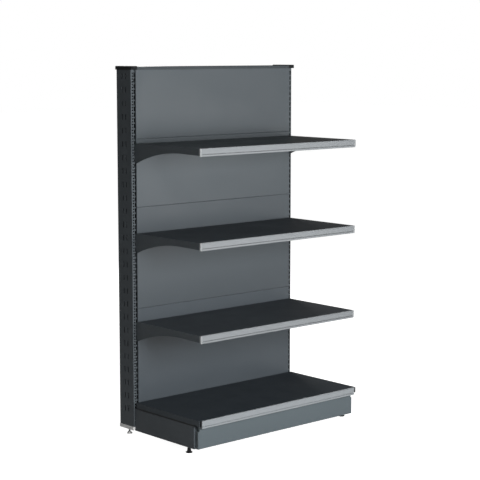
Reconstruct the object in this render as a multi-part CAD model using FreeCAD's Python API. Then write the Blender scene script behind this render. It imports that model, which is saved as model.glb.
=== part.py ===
import FreeCAD, Part
import math
import os

V = FreeCAD.Vector

# Overall sizes of the shelving bay, in millimetres
unit_width = 976.0  # over the outer faces of the two uprights
base_depth = 458.0  # from the uprights' front faces to the front of the base rail
shelf_depth = 450.0  # the same for the upper shelves
upright_top = 1649.0
deck_top = 155.0
seat_gap = 0.3  # between pieces that lift or swing apart
side_gap = 0.4  # beside a piece that moves past another
cut_over = 5.0  # how far every cutting solid runs past what it cuts

# Uprights: flat steel tubes with two slot columns in front and paired slots in the sides
upright_width = 28.0
upright_depth = 104.0
upright_wall = 2.0
upright_corner = 2.0
upright_foot = 41.0  # height of the tube's lower end
column_inset = 9.0  # from each side of the tube to the middle of the nearer column
slot_width = 7.0
slot_pitch = 25.0  # of the long slots in the right column
long_slot = 19.0
short_slot = 6.5  # in the left column, two to each pitch
first_slot = 67.5  # floor of the lowest slot
slot_margin = 8.0  # least distance from the highest slot to the tube's end
side_slot_pitch = 60.0
side_slot_length = 27.0
side_slot_width = 6.4
side_slot_setback = 40.0  # first row, behind the front face
side_slot_spacing = 24.0  # between the two rows
first_side_slot = 107.0  # lower end of the lowest pair

# Hooks that hang brackets, panels and legs in the slots
hook_neck = 3.4
hook_lip = 2.6
hook_plate = 3.0
hook_clear = 1.0  # between the lip and the inside of the tube's wall

# Upright shoes and top end caps
shoe_height = 15.0
shoe_plug = 30.0
shoe_overhang = 3.0  # past the outer side of the upright
cap_height = 16.0
cap_overhang = 6.0  # past the outer side of the upright
cap_plug = 18.0
cap_round = 3.0

# Sheet-metal pieces
sheet = 1.2
bend_radius = 1.4  # outside radius of the folded edges
panel_proud = 9.0  # panel front, ahead of the uprights' faces
panel_return = 20.0  # depth of the folds behind the panel's front
panel_short = 304.0  # height of the two upper panels; the two lower ones share the rest
panel_tuck = 27.0  # how far the lowest panel reaches below the deck's top
panel_joint = 0.5  # gap between two panels
panel_hook_margin = 30.0  # from a panel's lower or upper end to its hook
cover_height = 13.0
cover_skirt = 1.0  # how far the cover's skirts hang below the uprights' tops

# Shelves: a board between two brackets
bracket_plate = 3.0
bracket_heel = 88.0  # depth of the bracket at its rear end
bracket_heel_reach = 12.0
bracket_heel_rise = 14.0  # height of the bevel behind the heel
bracket_waist = 28.0  # depth at the top of the arch
bracket_waist_reach = 310.0
bracket_nose = 30.5  # depth at the front end
hook_drop = 7.0  # from the board's top to the floor of the upper hook's slot
hook_relief = 4.0  # bevel above the upper hook, for the tilt
tab_steps = 2  # slots from the upper hook down to the lower tab
tab_play = 1.6  # under the lower tab in its slot
ledge_width = 14.0
ledge_plate = 2.5
ledge_setback = 30.0  # from the board's ends to the ledge's ends
board_fold = 23.0
board_front_fold = 30.0
deck_front_fold = 25.0
board_lip = 12.0
board_rear_gap = 3.0  # between the board and the panel behind it
stiffener_width = 60.0
stiffener_height = 18.0
stiffener_end_gap = 25.0
shelf_slots = {"lower": 18, "middle": 34, "upper": 50}  # slot number of each shelf's upper hooks

# Price rails along the shelf fronts
rail_height = 35.0
rail_thickness = 8.0
rail_groove_share = 0.77  # place of the groove, down the rail's face
rail_recess = 1.4  # how far the label face lies behind the beads
rail_bead = 4.0
rail_groove = 2.8
rail_cap_width = 10.0
rail_cap_top_round = 2.5  # of the cap's outer corners
rail_cap_low_round = 6.0
base_rail_inset = 11.5  # each end, in from the deck's side
base_cap_width = 8.0  # of the square caps beside the base rail

# Base: legs, kick plate and feet
leg_inset = 6.0  # outer face of the leg, in from the upright's outer face
leg_width = 20.0
leg_reveal = 7.5  # from the leg's shoulder up to the deck's side fold
leg_plate = 2.0
leg_bottom = 24.5
leg_nose_gap = 7.0  # from the leg's nose to the kick plate's folds
leg_shelf = 30.0  # width of the leg's top and bottom flanges
leg_hook_slots = (2, 1)  # slot numbers of the leg's hooks, from above
kick_setback = 22.0  # behind the front of the base rail
kick_bottom = 25.5
kick_inset = 13.0  # each end, in from the upright's outer face
kick_fold = 13.0
kick_gap = 1.6  # under the deck's front lip, for the tilt
kick_notch = 7.0  # width of the notches in the upper corners
kick_notch_height = 25.0
clip_length = 30.0
clip_height = 40.0
clip_foot = 18.0

# Feet
stud_diameter = 8.0
stud_clear = 0.08  # on the radius, in the threads
stud_length = 66.0
front_foot_setback = 44.0  # behind the leg's nose
front_pad_diameter = 30.0
front_pad_neck = 16.0
front_pad_height = 22.0
rear_pad_diameter = 26.0
rear_pad_neck = 17.0
rear_pad_height = 11.0
pad_rim = 3.5
pad_bevel = 1.5
pad_collar_share = 0.75  # where the flare ends and the collar starts, up the pad
pad_floor = 4.0  # of the pad's socket for the stud
nut_across = 13.0
nut_height = 6.0

# Tie bars and their bolts
tie_depth = 40.0
tie_height = 40.0
tie_wall = 1.5
tie_end_depth = 60.0
tie_end_height = 44.0
tie_end_plate = 3.0
bolt_diameter = 6.0
bolt_head_across = 10.0
bolt_head_height = 4.0
bolt_nut_height = 5.0
bolt_clear = 0.2
cover_clip_length = 60.0
cover_clip_grip = 8.0  # how far the clip's legs reach down the tie bar
cover_clip_share = 0.25  # of the bay's width, from its middle to each clip

# Places that follow from the sizes
total_depth = base_depth + upright_depth
face_y = base_depth - total_depth / 2  # front faces of the uprights
left_x = -unit_width / 2  # outer face of the left upright
inner_x = left_x + upright_width
bracket_x = left_x + upright_width - column_inset - bracket_plate / 2
board_x = bracket_x + bracket_plate + seat_gap
deck_x = left_x + leg_inset  # the deck is flush with the legs
panel_x = bracket_x + bracket_plate + side_gap
panel_back = panel_proud - panel_return
hook_back = upright_wall + hook_clear + hook_plate  # rear of the lips, behind the face
foot_x = left_x + leg_inset + leg_plate + side_gap + nut_across / 2
shoe_bottom = upright_foot - shoe_height
leg_top = deck_top - board_fold - leg_reveal
kick_reach = base_depth - kick_setback
leg_reach = kick_reach - kick_fold - leg_nose_gap
front_foot_reach = leg_reach - front_foot_setback
panel_tall = (upright_top - deck_top + panel_tuck) / 2 - panel_short


def slot_floor(number):
    return first_slot + number * slot_pitch


def slot_above(height):
    return slot_floor(math.ceil((height - first_slot) / slot_pitch))


def at(x, ahead, z):
    """A point, with its distance ahead of the uprights' front faces."""
    return V(x, face_y - ahead, z)


def block(x0, x1, ahead0, ahead1, z0, z1):
    return Part.makeBox(x1 - x0, ahead1 - ahead0, z1 - z0, at(x0, ahead1, z0))


def rod(radius, length, base, direction=V(0, 0, 1)):
    return Part.makeCylinder(radius, length, base, direction)


def hexagon(across, height, base, direction=V(0, 0, 1)):
    """A six-sided prism, standing on base along direction."""
    turn = FreeCAD.Rotation(V(0, 0, 1), direction)
    radius = across / math.sqrt(3)
    angles = [math.radians(60 * i + 30) for i in range(7)]
    ring = [base + turn.multVec(V(radius * math.cos(a), radius * math.sin(a), 0)) for a in angles]
    return Part.Face(Part.makePolygon(ring)).extrude(turn.multVec(V(0, 0, height)))


def lines(points):
    return [Part.makeLine(a, b) for a, b in zip(points, points[1:])]


def from_side(outline, x0, x1):
    """A plate with an outline of (ahead, z) points, between two places across the bay."""
    ring = [at(x0, a, z) for a, z in outline]
    return Part.Face(Part.makePolygon(ring + ring[:1])).extrude(V(x1 - x0, 0, 0))


def joined(shapes):
    return shapes[0].multiFuse(shapes[1:]).removeSplitter()


def arc_sag(run, rise):
    """How far an arc that starts level, and falls by rise over its run, has fallen half-way."""
    radius = (run * run + rise * rise) / (2 * rise)
    half_run = run / 2
    return radius - math.sqrt(radius * radius - half_run * half_run)


def mirrored(shape):
    return shape.mirror(V(0, 0, 0), V(1, 0, 0))


def rounded(shape, radius, chosen):
    return shape.makeFillet(radius, [e for e in shape.Edges if chosen(e.BoundBox)])


def near(a, b):
    return abs(a - b) < seat_gap


def hook(floor, ahead):
    """Outline points of a hook, from above it down to its slot's floor."""
    inside = -upright_wall - hook_clear
    return [
        (ahead, floor + hook_neck),
        (-hook_back, floor + hook_neck),
        (-hook_back, floor - hook_lip),
        (inside, floor - hook_lip),
        (inside, floor),
        (ahead, floor),
    ]


def side_slot(ahead, z):
    """A round-ended slot through both sides of a tube."""
    r = side_slot_width / 2
    low, high = z + r, z + side_slot_length - r
    x = left_x - cut_over
    left_side = [at(x, ahead - r, low), at(x, ahead - r, high)]
    right_side = [at(x, ahead + r, high), at(x, ahead + r, low)]
    over = Part.Arc(left_side[1], at(x, ahead, high + r), right_side[0]).toShape()
    under = Part.Arc(right_side[1], at(x, ahead, low - r), left_side[0]).toShape()
    ring = Part.Wire(lines(left_side) + [over] + lines(right_side) + [under])
    return Part.Face(ring).extrude(V(upright_width + 2 * cut_over, 0, 0))


def side_slot_floors():
    room = upright_top - slot_margin - side_slot_length - first_side_slot
    return [first_side_slot + i * side_slot_pitch for i in range(int(room / side_slot_pitch) + 1)]


def upright():
    """The left tube. Its left column has short slots, its right column long ones."""
    right_x = left_x + upright_width
    tube = block(left_x, right_x, -upright_depth, 0, upright_foot, upright_top)
    tall = upright_top - upright_foot
    tube = rounded(tube, min(upright_corner, upright_wall), lambda b: near(b.ZLength, tall))
    tube = tube.cut(
        block(
            left_x + upright_wall,
            right_x - upright_wall,
            upright_wall - upright_depth,
            -upright_wall,
            upright_foot - cut_over,
            upright_top + cut_over,
        )
    )
    cutters = []
    for middle, height, pitch in (
        (left_x + column_inset, short_slot, slot_pitch / 2),
        (right_x - column_inset, long_slot, slot_pitch),
    ):
        count = int((upright_top - slot_margin - first_slot - height) / pitch) + 1
        for i in range(count):
            z = first_slot + i * pitch
            x = middle - slot_width / 2
            cutters.append(block(x, x + slot_width, -upright_wall - cut_over, cut_over, z, z + height))
    for z in side_slot_floors():
        for row in range(2):
            cutters.append(side_slot(-side_slot_setback - row * side_slot_spacing, z))
    return tube.cut(cutters)


def inside_tube(z0, z1):
    """A plug that fits a tube with the seat gap all round."""
    gap = upright_wall + seat_gap
    return block(left_x + gap, inner_x - gap, gap - upright_depth, -gap, z0, z1)


def rear_foot_place(z):
    return at(left_x + upright_width / 2, -upright_depth / 2, z)


def upright_shoe():
    foot = block(left_x - shoe_overhang, inner_x, -upright_depth, 0, shoe_bottom, upright_foot)
    foot = rounded(foot, upright_corner, lambda b: near(b.ZLength, shoe_height))
    shoe = joined([foot, inside_tube(upright_foot, upright_foot + shoe_plug)])
    thread = rod(
        stud_diameter / 2 + stud_clear,
        shoe_height + shoe_plug + 2 * cut_over,
        rear_foot_place(shoe_bottom - cut_over),
    )
    return shoe.cut(thread)


def end_cap():
    top = upright_top + cap_height
    front = panel_proud + seat_gap + sheet
    head = block(left_x - cap_overhang, inner_x, -upright_depth, front, upright_top, top)
    head = rounded(head, cap_round, lambda b: near(b.ZMin, top) and b.XMin < inner_x - cap_round)
    return joined([head, inside_tube(upright_top - cap_plug, upright_top)])


def top_cover():
    """A channel between the end caps, open below, that hides the panels' upper edges."""
    x = inner_x + seat_gap
    front = panel_proud + seat_gap + sheet
    low, high = upright_top - cover_skirt, upright_top + cover_height
    shell = block(x, -x, -upright_depth, front, low, high)
    shell = rounded(shell, bend_radius, lambda b: near(b.ZMin, high) and b.XLength > unit_width / 2)
    return shell.cut(
        block(x - cut_over, cut_over - x, sheet - upright_depth, front - sheet, low - cut_over, high - sheet)
    )


def tie_middle():
    return -side_slot_setback - side_slot_spacing / 2


def tie_bar(z):
    """A tube between the uprights, welded to an end plate at each side."""
    a0, a1 = tie_middle() - tie_depth / 2, tie_middle() + tie_depth / 2
    z0, z1 = z - tie_height / 2, z + tie_height / 2
    x = inner_x + tie_end_plate
    tube = block(x, -x, a0, a1, z0, z1).cut(
        block(x - cut_over, cut_over - x, a0 + tie_wall, a1 - tie_wall, z0 + tie_wall, z1 - tie_wall)
    )
    half = tie_end_height / 2
    reach = tie_end_depth / 2
    plate = block(inner_x, x, tie_middle() - reach, tie_middle() + reach, z - half, z + half)
    holes = [bolt_hole(place, tie_end_plate) for place in bolt_places(z)]
    plate = plate.cut(holes)
    return joined([plate, tube, mirrored(plate)])


def bolt_hole(place, length):
    """A cutter for a bolt's hole, from place towards the middle of the bay."""
    across = V(1, 0, 0)
    return rod(bolt_diameter / 2 + bolt_clear, length + 2 * cut_over, place - across * cut_over, across)


def bolt_places(z):
    """Where the bolts of a tie bar's left end meet the upright's inner side."""
    rows = (-side_slot_setback, -side_slot_setback - side_slot_spacing)
    return [at(inner_x, a, z) for a in rows]


def tie_bolt(place):
    """A hexagon bolt from inside the bay, through the end plate into the upright."""
    into = V(-1, 0, 0)
    head_seat = place + V(tie_end_plate, 0, 0)
    head = hexagon(bolt_head_across, bolt_head_height, head_seat, V(1, 0, 0))
    length = tie_end_plate + upright_wall + bolt_nut_height + bolt_clear
    return joined([head, rod(bolt_diameter / 2, length, head_seat, into)])


def tie_nut(place):
    start = place - V(upright_wall + bolt_nut_height, 0, 0)
    nut = hexagon(bolt_head_across, bolt_nut_height, start, V(1, 0, 0))
    return nut.cut(bolt_hole(start, bolt_nut_height))


def cover_clip(x, tie_top):
    """A bent saddle under the cover, over the top tie bar."""
    roof = upright_top + cover_height - sheet
    a0 = tie_middle() - tie_depth / 2 - seat_gap - sheet
    a1 = tie_middle() + tie_depth / 2 + seat_gap + sheet
    low = tie_top - cover_clip_grip
    saddle = block(x - cover_clip_length / 2, x + cover_clip_length / 2, a0, a1, low, roof)
    gap = (tie_top + seat_gap, roof - sheet)
    ends = (x - cover_clip_length / 2 - cut_over, x + cover_clip_length / 2 + cut_over)
    upper = block(*ends, a0 + sheet, a1 - sheet, gap[0] + sheet, gap[1])
    lower = block(*ends, a0 + sheet, a1 - sheet, low - cut_over, gap[0])
    return saddle.cut([upper, lower])


def back_panel(z0, z1):
    """A pan with its folds behind, deeper between the uprights, and hooks at both ends."""
    pan = block(panel_x, -panel_x, 0, panel_proud, z0, z1)
    front_y = face_y - panel_proud
    pan = rounded(pan, bend_radius, lambda b: near(b.YMin, front_y) and near(b.YMax, front_y))
    pan = pan.cut(
        block(
            panel_x + sheet,
            -panel_x - sheet,
            -cut_over,
            panel_proud - sheet,
            z0 + sheet,
            z1 - sheet,
        )
    )
    x = inner_x + side_gap
    folds = [block(x, -x, panel_back, 0, z, z + sheet) for z in (z0, z1 - sheet)]
    hooks = []
    for floor in (slot_above(z0 + panel_hook_margin), slot_above(z1 - panel_hook_margin - slot_pitch)):
        tab = from_side(hook(floor, 0), panel_x, panel_x + sheet)
        hooks += [tab, mirrored(tab)]
    return joined([pan] + folds + hooks)


def base_leg():
    """The left leg: a channel open towards the middle, with hooks and a rib that carries the deck."""
    x0 = left_x + leg_inset
    x1 = x0 + leg_width
    web_outline = [(leg_reach, leg_bottom), (leg_reach, leg_top), (seat_gap, leg_top)]
    for number in leg_hook_slots:
        web_outline += hook(slot_floor(number), seat_gap)
    web_outline.append((seat_gap, leg_bottom))
    web = from_side(web_outline, x0, x0 + leg_plate)
    top = block(x0, x0 + leg_shelf, panel_proud + board_rear_gap, leg_reach, leg_top - leg_plate, leg_top)
    floor = block(x0, x0 + leg_shelf, seat_gap, leg_reach, leg_bottom, leg_bottom + leg_plate)
    nose = block(x0, x1, leg_reach - leg_plate, leg_reach, leg_bottom, leg_top)
    rib_x = deck_x + sheet + side_gap
    rib_rear = panel_proud + board_rear_gap + board_lip + seat_gap
    roof = deck_top - sheet - seat_gap
    side_rib = block(rib_x, rib_x + leg_plate, rib_rear, leg_reach, leg_top, roof)
    front_rib = block(rib_x, x0 + leg_shelf, leg_reach - leg_plate, leg_reach, leg_top, roof)
    rear_rib = block(rib_x, rib_x + leg_plate, seat_gap, rib_rear, leg_top, deck_top - board_fold - seat_gap)
    leg = joined([web, top, floor, nose, side_rib, front_rib, rear_rib])
    below = at(foot_x, front_foot_reach, leg_bottom - cut_over)
    return leg.cut(rod(stud_diameter / 2 + seat_gap, leg_plate + 2 * cut_over, below))


def threaded_nut(base):
    bore = rod(stud_diameter / 2 + stud_clear, nut_height + 2 * cut_over, base - V(0, 0, cut_over))
    return hexagon(nut_across, nut_height, base).cut(bore)


def tray(left, depth, top, front_fold):
    """A board folded down on all four sides, deeper in front, with lips under its front and rear."""
    rear = panel_proud + board_rear_gap
    front = depth - rail_thickness
    low = top - board_fold
    outer = block(left, -left, rear, front, low, top)
    outer = rounded(outer, bend_radius, lambda b: near(b.ZMin, top))
    x = left + sheet
    shell = outer.cut(block(x, -x, rear + sheet, front - sheet, low - cut_over, top - sheet))
    bottom = top - front_fold
    cheek = block(left, x, front - board_lip, front, bottom, low)
    lips = [
        block(x, -x, rear + sheet, rear + board_lip, low, low + sheet),
        block(x, -x, front - sheet, front, bottom, low),
        block(x, -x, front - board_lip, front, bottom, bottom + sheet),
        cheek,
        mirrored(cheek),
    ]
    return joined([shell] + lips)


def stiffener(left, depth, top):
    """A channel under the middle of a board."""
    x = left + sheet + stiffener_end_gap
    middle = (panel_proud + board_rear_gap + depth - rail_thickness) / 2
    a0, a1 = middle - stiffener_width / 2, middle + stiffener_width / 2
    roof = top - sheet
    low = roof - stiffener_height
    return block(x, -x, a0, a1, low, roof).cut(
        block(x - cut_over, cut_over - x, a0 + sheet, a1 - sheet, low + sheet, roof + cut_over)
    )


def price_rail(left, depth, top):
    """An extrusion with a bead at the top, a label face and a groove above its lower nose."""
    back, front = depth - rail_thickness, depth
    face = front - rail_recess
    groove = top - rail_height * rail_groove_share
    round_off = rail_recess
    low = top - rail_height
    outline = [
        (back, top),
        (front - round_off, top),
        (front, top - round_off),
        (front, top - rail_bead),
        (face, top - rail_bead - rail_recess),
        (face, groove + rail_groove),
        (face - rail_recess, groove + rail_groove),
        (face - rail_recess, groove),
        (front, groove),
        (front, low + round_off),
        (front - round_off, low),
        (back, low),
    ]
    return from_side(outline, left, -left)


def rail_end_cap(top):
    """The left end cap of a shelf's rail, rounded at its outer corners."""
    low = top - rail_height
    back = shelf_depth - rail_thickness
    cap = block(bracket_x, bracket_x + rail_cap_width, back, shelf_depth, low, top)
    cap = rounded(cap, rail_cap_top_round, lambda b: near(b.XMax, bracket_x) and near(b.ZMin, top))
    return rounded(cap, rail_cap_low_round, lambda b: near(b.XMax, bracket_x) and near(b.ZMax, low))


def base_rail_cap():
    """The left cap beside the base rail, as tall as the deck's front fold."""
    x = deck_x + base_rail_inset
    back = base_depth - rail_thickness
    cap = block(x - base_cap_width, x, back, base_depth, deck_top - deck_front_fold, deck_top)
    front_y = face_y - base_depth
    return rounded(cap, rail_recess, lambda b: near(b.YMin, front_y) and near(b.YMax, front_y))


def bracket(top):
    """The left bracket: a plate with an arched lower edge, a hook, a tab and a ledge."""
    front = shelf_depth - rail_thickness - seat_gap
    rear = seat_gap
    high = top - seat_gap
    floor = top - hook_drop + seat_gap / 2
    tab = top - hook_drop - tab_steps * slot_pitch + tab_play
    waist = (bracket_waist_reach, top - bracket_waist)
    heel = (bracket_heel_reach, top - bracket_heel)
    outline = [waist, (front, top - bracket_nose), (front, high), (rear + hook_relief, high)]
    outline += hook(floor, rear)
    outline += [(rear, tab + hook_neck), (-hook_back, tab + hook_neck), (-hook_back, tab), (rear, tab)]
    outline += [(rear, heel[1] + bracket_heel_rise), heel]
    # the arch is level at the waist
    run = waist[0] - heel[0]
    middle = (waist[0] - run / 2, waist[1] - arc_sag(run, waist[1] - heel[1]))
    arch = Part.Arc(*[at(bracket_x, a, z) for a, z in (heel, middle, waist)]).toShape()
    ring = Part.Wire(lines([at(bracket_x, a, z) for a, z in outline]) + [arch])
    plate = Part.Face(ring).extrude(V(bracket_plate, 0, 0))
    inner = bracket_x + bracket_plate
    shelf_rear = panel_proud + board_rear_gap + ledge_setback
    seat = top - board_fold
    ledge = block(inner, inner + ledge_width, shelf_rear, front - ledge_setback, seat - ledge_plate, seat)
    return joined([plate, ledge])


def kick_plate():
    """A pan with its folds behind, which follow a notch in each upper corner."""
    x = left_x + kick_inset
    back = kick_reach - kick_fold
    top = deck_top - deck_front_fold - kick_gap
    front_y = face_y - kick_reach
    pan = block(x, -x, back, kick_reach, kick_bottom, top)
    pan = rounded(pan, bend_radius, lambda b: near(b.YMin, front_y) and near(b.YMax, front_y))
    low, high = kick_bottom + sheet, top - sheet
    hollow = block(x + sheet, -x - sheet, back - cut_over, kick_reach - sheet, low, high)

    def corner(wall):
        """Both upper corners, grown by a wall's thickness."""
        side = x + kick_notch + wall
        floor = top - kick_notch_height - wall
        left = block(x - cut_over, side, back - 2 * cut_over, kick_reach + cut_over, floor, top + cut_over)
        return [left, mirrored(left)]

    return pan.cut(corner(0)).cut(hollow.cut(corner(sheet)))


def kick_clip():
    """A bent clip behind the kick plate, with its tongue beside the leg's nose."""
    x = left_x + leg_inset + leg_width + side_gap
    back = kick_reach - sheet
    middle = (leg_bottom + leg_top) / 2
    z0, z1 = middle - clip_height / 2, middle + clip_height / 2
    tongue = block(x, x + sheet, back - clip_length, back, z0, z1)
    foot = block(x, x + clip_foot, back - sheet, back, z0, z1)
    return joined([tongue, foot])


def foot_pad(place, diameter, neck, height):
    """A round foot that flares from its collar down to its rim, with a socket for its stud."""
    r, n = diameter / 2, neck / 2
    collar = height * pad_collar_share
    run = collar - pad_rim
    flare = [V(r, 0, pad_rim), V(n + arc_sag(run, r - n), 0, pad_rim + run / 2), V(n, 0, collar)]
    over = [flare[2], V(n, 0, height - pad_bevel), V(n - pad_bevel, 0, height), V(0, 0, height)]
    under = [V(0, 0, 0), V(r - pad_bevel, 0, 0), V(r, 0, pad_bevel), flare[0]]
    profile = Part.Wire(lines(under) + [Part.Arc(*flare).toShape()] + lines(over + under[:1]))
    pad = Part.Face(profile).revolve(V(0, 0, 0), V(0, 0, 1), 360)
    pad = pad.cut(rod(stud_diameter / 2 + stud_clear, height, V(0, 0, pad_floor)))
    pad.translate(place)
    return pad


def foot_stud(place):
    stud = rod(stud_diameter / 2, stud_length, place + V(0, 0, pad_floor))
    tip = place.z + pad_floor + stud_length
    return stud.makeChamfer(pad_bevel, [e for e in stud.Edges if near(e.BoundBox.ZMin, tip)])


def pair(shape):
    return Part.Compound([shape, mirrored(shape)])


nodes = {}
post = upright()
nodes["left_upright"] = post
nodes["right_upright"] = post.translated(V(unit_width - upright_width, 0, 0))

nodes["left_upright_shoe"] = upright_shoe()
nodes["left_end_cap"] = end_cap()
nodes["left_base_leg"] = base_leg()
for name in ("upright_shoe", "end_cap", "base_leg"):
    nodes["right_" + name] = mirrored(nodes["left_" + name])

side_floors = side_slot_floors()
tie_floors = {"top": side_floors[-1], "middle": side_floors[len(side_floors) // 2], "bottom": side_floors[0]}
tie_heights = {name: z + side_slot_length / 2 for name, z in tie_floors.items()}
bolt_spots = []
for name, z in tie_heights.items():
    nodes["tie_bar_" + name] = tie_bar(z)
    bolt_spots += bolt_places(z)
nodes["tie_bar_bolts"] = Part.Compound([pair(tie_bolt(place)) for place in bolt_spots])
nodes["tie_bar_nuts"] = Part.Compound([pair(tie_nut(place)) for place in bolt_spots])

nodes["top_cover"] = top_cover()
tie_roof = tie_heights["top"] + tie_height / 2
nodes["top_cover_clips"] = pair(cover_clip(unit_width * cover_clip_share, tie_roof))

panel_top = upright_top
panel_heights = {"top": panel_short, "upper": panel_short, "middle": panel_tall, "bottom": panel_tall}
for name, height in panel_heights.items():
    nodes["back_panel_" + name] = back_panel(panel_top - height + panel_joint, panel_top)
    panel_top -= height

nodes["leg_weld_nuts"] = pair(threaded_nut(at(foot_x, front_foot_reach, leg_bottom + leg_plate)))
nodes["rear_lock_nuts"] = pair(threaded_nut(rear_foot_place(shoe_bottom - nut_height)))

nodes["base_deck"] = tray(deck_x, base_depth, deck_top, deck_front_fold)
nodes["base_deck_stiffener"] = stiffener(deck_x, base_depth, deck_top)
nodes["base_price_rail"] = price_rail(deck_x + base_rail_inset, base_depth, deck_top)
nodes["base_rail_end_caps"] = pair(base_rail_cap())
nodes["kick_plate"] = kick_plate()
nodes["kick_plate_clips"] = pair(kick_clip())

for name, number in shelf_slots.items():
    shelf_top = slot_floor(number) + hook_drop
    side = bracket(shelf_top)
    nodes["shelf_%s_board" % name] = tray(board_x, shelf_depth, shelf_top, board_front_fold)
    nodes["shelf_%s_stiffener" % name] = stiffener(board_x, shelf_depth, shelf_top)
    nodes["shelf_%s_left_bracket" % name] = side
    nodes["shelf_%s_right_bracket" % name] = mirrored(side)
    nodes["shelf_%s_price_rail" % name] = price_rail(bracket_x + rail_cap_width, shelf_depth, shelf_top)
    nodes["shelf_%s_rail_end_caps" % name] = pair(rail_end_cap(shelf_top))

front_foot = at(foot_x, front_foot_reach, 0)
rear_foot = rear_foot_place(0)
nodes["front_left_foot_pad"] = foot_pad(front_foot, front_pad_diameter, front_pad_neck, front_pad_height)
nodes["rear_left_foot_pad"] = foot_pad(rear_foot, rear_pad_diameter, rear_pad_neck, rear_pad_height)
nodes["front_left_foot_stud"] = foot_stud(front_foot)
nodes["rear_left_foot_stud"] = foot_stud(rear_foot)
for end in ("front", "rear"):
    for piece in ("pad", "stud"):
        nodes["%s_right_foot_%s" % (end, piece)] = mirrored(nodes["%s_left_foot_%s" % (end, piece)])

os.makedirs("parts", exist_ok=True)
for name, shape in nodes.items():
    shape.exportStep("parts/%s.step" % name)
    print(name, len(shape.Solids), "solids", shape.isValid(), round(shape.Volume))
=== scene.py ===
import math
import bmesh
import bpy
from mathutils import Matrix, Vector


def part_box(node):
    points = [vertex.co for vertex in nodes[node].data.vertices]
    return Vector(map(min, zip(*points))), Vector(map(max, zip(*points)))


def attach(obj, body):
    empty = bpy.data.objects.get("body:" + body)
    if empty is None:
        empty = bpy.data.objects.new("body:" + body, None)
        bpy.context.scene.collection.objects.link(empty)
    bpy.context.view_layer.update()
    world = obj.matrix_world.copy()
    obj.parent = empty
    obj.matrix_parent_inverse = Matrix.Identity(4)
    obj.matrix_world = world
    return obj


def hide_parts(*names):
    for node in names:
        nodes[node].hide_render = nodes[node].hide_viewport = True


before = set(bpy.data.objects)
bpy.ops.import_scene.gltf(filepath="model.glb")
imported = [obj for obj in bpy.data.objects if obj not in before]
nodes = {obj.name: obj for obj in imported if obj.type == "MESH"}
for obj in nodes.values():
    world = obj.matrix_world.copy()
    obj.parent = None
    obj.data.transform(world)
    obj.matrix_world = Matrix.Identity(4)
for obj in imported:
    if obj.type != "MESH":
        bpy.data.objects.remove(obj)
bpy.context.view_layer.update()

scene = bpy.context.scene
levels = ("lower", "middle", "upper")


# small helpers for node trees
def addNode(tree, kind, settings=None, values=None):
    node = tree.nodes.new("ShaderNode" + kind)
    for key, value in (settings or {}).items():
        setattr(node, key, value)
    for key, value in (values or {}).items():
        node.inputs[key].default_value = value
    return node


def newGroup(name, inputs, outputs):
    tree = bpy.data.node_groups.new(name, "ShaderNodeTree")
    for label, kind, value in inputs:
        socket = tree.interface.new_socket(label, in_out="INPUT", socket_type="NodeSocket" + kind)
        socket.default_value = value
    for label, kind in outputs:
        tree.interface.new_socket(label, in_out="OUTPUT", socket_type="NodeSocket" + kind)
    return tree, tree.nodes.new("NodeGroupInput"), tree.nodes.new("NodeGroupOutput")


def placeGroup(tree, group, values):
    node = tree.nodes.new("ShaderNodeGroup")
    node.node_tree = group
    for key, value in values.items():
        node.inputs[key].default_value = value
    return node


def mathNode(tree, operation, first, second):
    node = addNode(tree, "Math", {"operation": operation})
    for socket, value in zip(node.inputs, (first, second)):
        if isinstance(value, (int, float)):
            socket.default_value = value
        else:
            tree.links.new(value, socket)
    return node.outputs[0]


def noiseNode(tree, vector, scale, detail=2.0, roughness=0.5):
    node = addNode(tree, "TexNoise", values={"Detail": detail, "Roughness": roughness})
    tree.links.new(vector, node.inputs["Vector"])
    if isinstance(scale, (int, float)):
        node.inputs["Scale"].default_value = scale
    else:
        tree.links.new(scale, node.inputs["Scale"])
    return node.outputs["Fac"]


def rangeNode(tree, value, reads, gives):
    node = addNode(tree, "MapRange")
    for socket, number in zip(list(node.inputs)[:5], (value, *reads, *gives)):
        if isinstance(number, (int, float)):
            socket.default_value = number
        else:
            tree.links.new(number, socket)
    return node.outputs[0]


def tintNode(tree, colour, brightness):
    node = addNode(tree, "HueSaturation")
    tree.links.new(colour, node.inputs["Color"])
    tree.links.new(brightness, node.inputs["Value"])
    return node.outputs["Color"]


def mixColours(tree, share, first, second):
    node = addNode(tree, "Mix", {"data_type": "RGBA"})
    for socket, value in zip((node.inputs[0], node.inputs[6], node.inputs[7]), (share, first, second)):
        if isinstance(value, bpy.types.NodeSocket):
            tree.links.new(value, socket)
        else:
            socket.default_value = value
    return node.outputs[2]


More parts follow.
